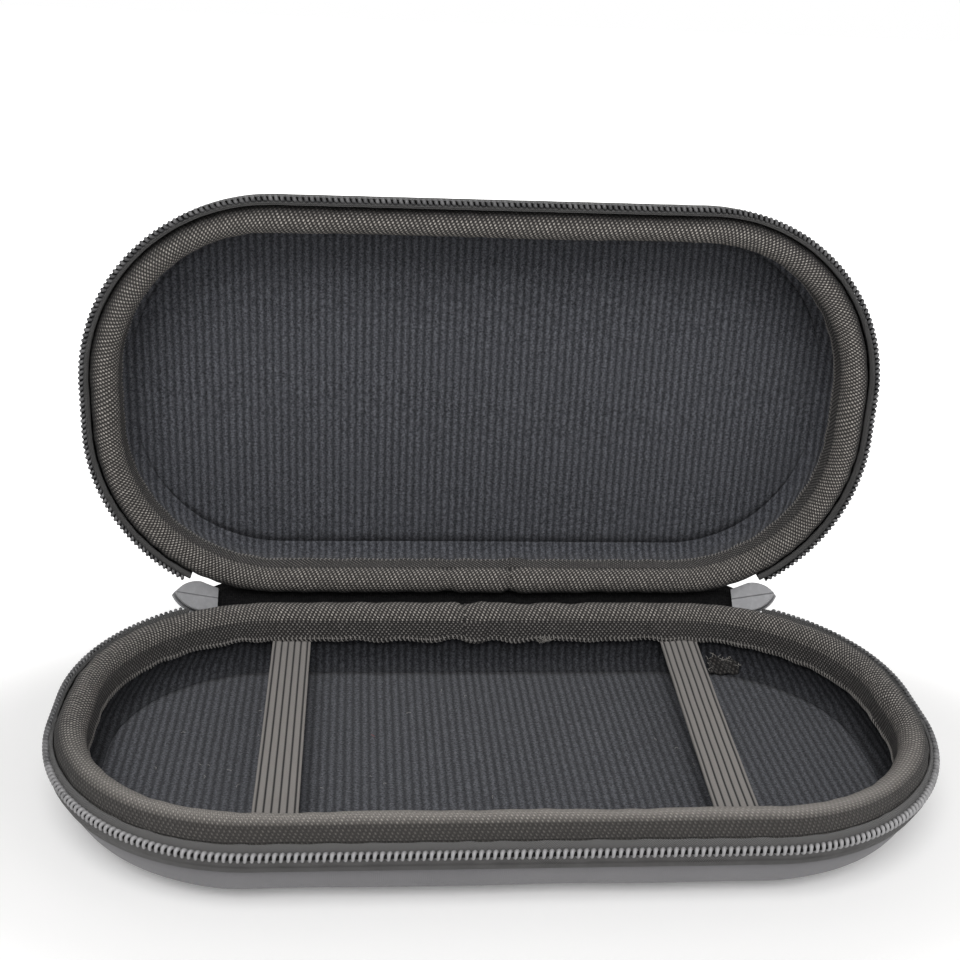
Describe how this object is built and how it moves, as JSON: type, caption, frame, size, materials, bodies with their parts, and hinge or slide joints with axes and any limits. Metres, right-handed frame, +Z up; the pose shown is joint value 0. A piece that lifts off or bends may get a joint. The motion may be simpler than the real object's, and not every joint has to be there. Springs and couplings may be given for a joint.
{
  "type": "portable game console case",
  "caption": "Clamshell zip case of moulded foam with ribbed fleece lining, woven bound rims, coil zip with sliders, and elastic straps in its base.",
  "frame": {"origin": "middle of the base's flat floor, where the case stands on the table", "axes": "+X along the case's length, +Y from the front to the hinge at the back, +Z up"},
  "size_m": [0.218, 0.1371, 0.1373],
  "materials": {
    "shell_foam": "smooth matt knit over moulded foam",
    "lining_fleece": "ribbed brushed fleece",
    "binding_tape": "coarse basket weave",
    "zip_tape": "fine herringbone weave",
    "zip_coil": "satin",
    "hinge_cloth": "dark woven cloth",
    "slider_metal": "fine matt coat",
    "pull_metal": "fine matt coat",
    "strap_elastic": "ribbed elastic webbing"
  },
  "bodies": {
    "base": {"base_shell": "shell_foam", "base_lining": "lining_fleece", "base_binding": "binding_tape", "base_zip_tape": "zip_tape", "base_zip_coil": "zip_coil", "left_strap": "strap_elastic", "right_strap": "strap_elastic", "tape_scrap": "binding_tape"},
    "link": {"hinge_strip": "hinge_cloth", "left_slider": "slider_metal", "right_slider": "slider_metal"},
    "lid": {"lid_shell": "shell_foam", "lid_lining": "lining_fleece", "lid_binding": "binding_tape", "lid_zip_tape": "zip_tape", "lid_zip_coil": "zip_coil"},
    "left_pull": {"left_pull": "pull_metal"},
    "right_pull": {"right_pull": "pull_metal"}
  },
  "joints": [
    {"name": "strip_fold", "type": "hinge", "parent": "base", "child": "link", "pos_m": [0, 0.0535, 0.02025], "axis": [-1, 0, 0], "range_deg": [-44.5, 45.5]},
    {"name": "lid_fold", "type": "hinge", "parent": "link", "child": "lid", "pos_m": [0, 0.05904, 0.02588], "axis": [-1, 0, 0], "range_deg": [-44.5, 45.5], "deforming": ["hinge_strip"]},
    {"name": "left_pull_swing", "type": "hinge", "parent": "link", "child": "left_pull", "pos_m": [-0.08148, 0.05668, 0.02266], "axis": [0, 0.7009, 0.7133], "range_deg": [-58.02, 111.98]},
    {"name": "right_pull_swing", "type": "hinge", "parent": "link", "child": "right_pull", "pos_m": [0.08148, 0.05668, 0.02266], "axis": [0, 0.7009, 0.7133], "range_deg": [-111.98, 58.02]}
  ],
  "couplings": [
    {"joint": "strip_fold", "follows": "lid_fold", "ratio": 1}
  ]
}
